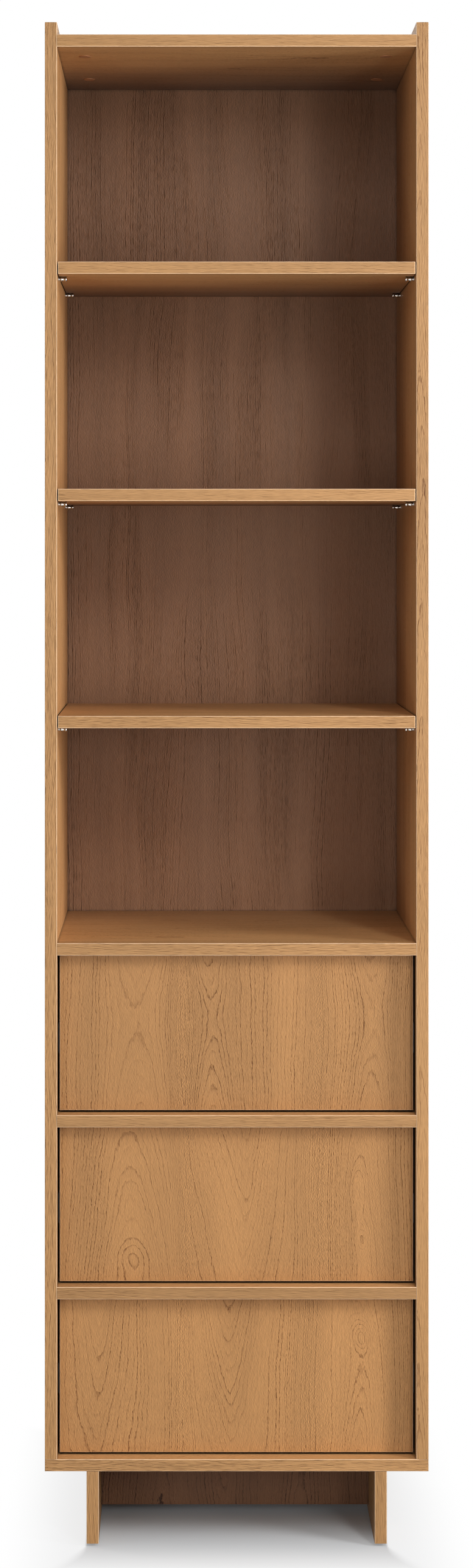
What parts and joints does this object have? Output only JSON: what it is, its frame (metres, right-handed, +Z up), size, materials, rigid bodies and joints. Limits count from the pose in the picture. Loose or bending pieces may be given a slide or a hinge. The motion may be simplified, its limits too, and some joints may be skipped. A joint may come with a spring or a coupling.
{
  "type": "shelving unit with drawers",
  "caption": "Tall narrow oak-effect shelving unit with open compartments above handleless inset drawers, on panel legs.",
  "frame": {"origin": "on the floor, under the middle of the unit's width and depth", "axes": "+Z up, -Y out of the front, +X to the right as seen from the front"},
  "size_m": [0.5, 0.35, 1.986],
  "materials": {
    "oak_upright": "natural oak-effect foil with upright grain and matching edge band, satin",
    "oak_cross": "natural oak-effect foil with grain from side to side and matching edge band, satin",
    "oak_drawer_front": "natural oak-effect foil with upright cathedral grain, satin",
    "oak_back": "thin board with oak-effect foil, upright grain, satin",
    "drawer_box_board": "oak-effect foil on board, satin",
    "drawer_tray_board": "thin foiled fibreboard, matt",
    "black_slide_steel": "black coated steel, satin",
    "black_screw": "black coated steel",
    "zinc_fitting": "zinc, satin",
    "nickel_pin": "polished nickel plate",
    "cover_plastic": "oak-coloured plastic, satin",
    "glide_plastic": "grey nylon, satin",
    "beech_dowel": "plain beech"
  },
  "bodies": {
    "carcass": {"side_panel_left": "oak_upright", "cam_housings": "zinc_fitting", "cam_bolts": "zinc_fitting", "dowels": "beech_dowel", "side_panel_right": "oak_upright", "top_panel": "oak_cross", "fixed_shelf": "oak_cross", "bottom_panel": "oak_cross", "cam_cover_caps": "cover_plastic", "back_panel": "oak_back", "drawer_rail_upper": "oak_cross", "drawer_rail_lower": "oak_cross", "shelf_upper": "oak_cross", "shelf_pins": "nickel_pin", "shelf_middle": "oak_cross", "shelf_lower": "oak_cross", "leg_left": "oak_upright", "leg_glides": "glide_plastic", "leg_right": "oak_upright", "leg_brace": "oak_upright", "slide_cabinet_left_upper": "black_slide_steel", "slide_screws_cabinet": "black_screw", "slide_cabinet_right_upper": "black_slide_steel", "slide_cabinet_left_middle": "black_slide_steel", "slide_cabinet_right_middle": "black_slide_steel", "slide_cabinet_left_lower": "black_slide_steel", "slide_cabinet_right_lower": "black_slide_steel"},
    "drawer_upper": {"drawer_front_upper": "oak_drawer_front", "drawer_back_upper": "drawer_box_board", "drawer_side_left_upper": "drawer_box_board", "drawer_cam_locks_upper": "zinc_fitting", "drawer_side_right_upper": "drawer_box_board", "drawer_bottom_upper": "drawer_tray_board", "slide_drawer_left_upper": "black_slide_steel", "slide_screws_upper": "black_screw", "slide_drawer_right_upper": "black_slide_steel"},
    "slide_middle_upper": {"slide_middle_left_upper": "black_slide_steel", "slide_middle_right_upper": "black_slide_steel"},
    "drawer_middle": {"drawer_front_middle": "oak_drawer_front", "drawer_back_middle": "drawer_box_board", "drawer_side_left_middle": "drawer_box_board", "drawer_cam_locks_middle": "zinc_fitting", "drawer_side_right_middle": "drawer_box_board", "drawer_bottom_middle": "drawer_tray_board", "slide_drawer_left_middle": "black_slide_steel", "slide_screws_middle": "black_screw", "slide_drawer_right_middle": "black_slide_steel"},
    "slide_middle_middle": {"slide_middle_left_middle": "black_slide_steel", "slide_middle_right_middle": "black_slide_steel"},
    "drawer_lower": {"drawer_front_lower": "oak_drawer_front", "drawer_back_lower": "drawer_box_board", "drawer_side_left_lower": "drawer_box_board", "drawer_cam_locks_lower": "zinc_fitting", "drawer_side_right_lower": "drawer_box_board", "drawer_bottom_lower": "drawer_tray_board", "slide_drawer_left_lower": "black_slide_steel", "slide_screws_lower": "black_screw", "slide_drawer_right_lower": "black_slide_steel"},
    "slide_middle_lower": {"slide_middle_left_lower": "black_slide_steel", "slide_middle_right_lower": "black_slide_steel"}
  },
  "joints": [
    {"name": "drawer_upper_travel", "type": "slide", "parent": "carcass", "child": "drawer_upper", "axis": [0, -1, 0], "range_m": [-0.003, 0.25]},
    {"name": "slide_middle_upper_travel", "type": "slide", "parent": "carcass", "child": "slide_middle_upper", "axis": [0, -1, 0], "range_m": [-0.0015, 0.125]},
    {"name": "drawer_middle_travel", "type": "slide", "parent": "carcass", "child": "drawer_middle", "axis": [0, -1, 0], "range_m": [-0.003, 0.25]},
    {"name": "slide_middle_middle_travel", "type": "slide", "parent": "carcass", "child": "slide_middle_middle", "axis": [0, -1, 0], "range_m": [-0.0015, 0.125]},
    {"name": "drawer_lower_travel", "type": "slide", "parent": "carcass", "child": "drawer_lower", "axis": [0, -1, 0], "range_m": [-0.003, 0.25]},
    {"name": "slide_middle_lower_travel", "type": "slide", "parent": "carcass", "child": "slide_middle_lower", "axis": [0, -1, 0], "range_m": [-0.0015, 0.125]}
  ],
  "couplings": [
    {"joint": "slide_middle_upper_travel", "follows": "drawer_upper_travel", "ratio": 0.5},
    {"joint": "slide_middle_middle_travel", "follows": "drawer_middle_travel", "ratio": 0.5},
    {"joint": "slide_middle_lower_travel", "follows": "drawer_lower_travel", "ratio": 0.5}
  ]
}
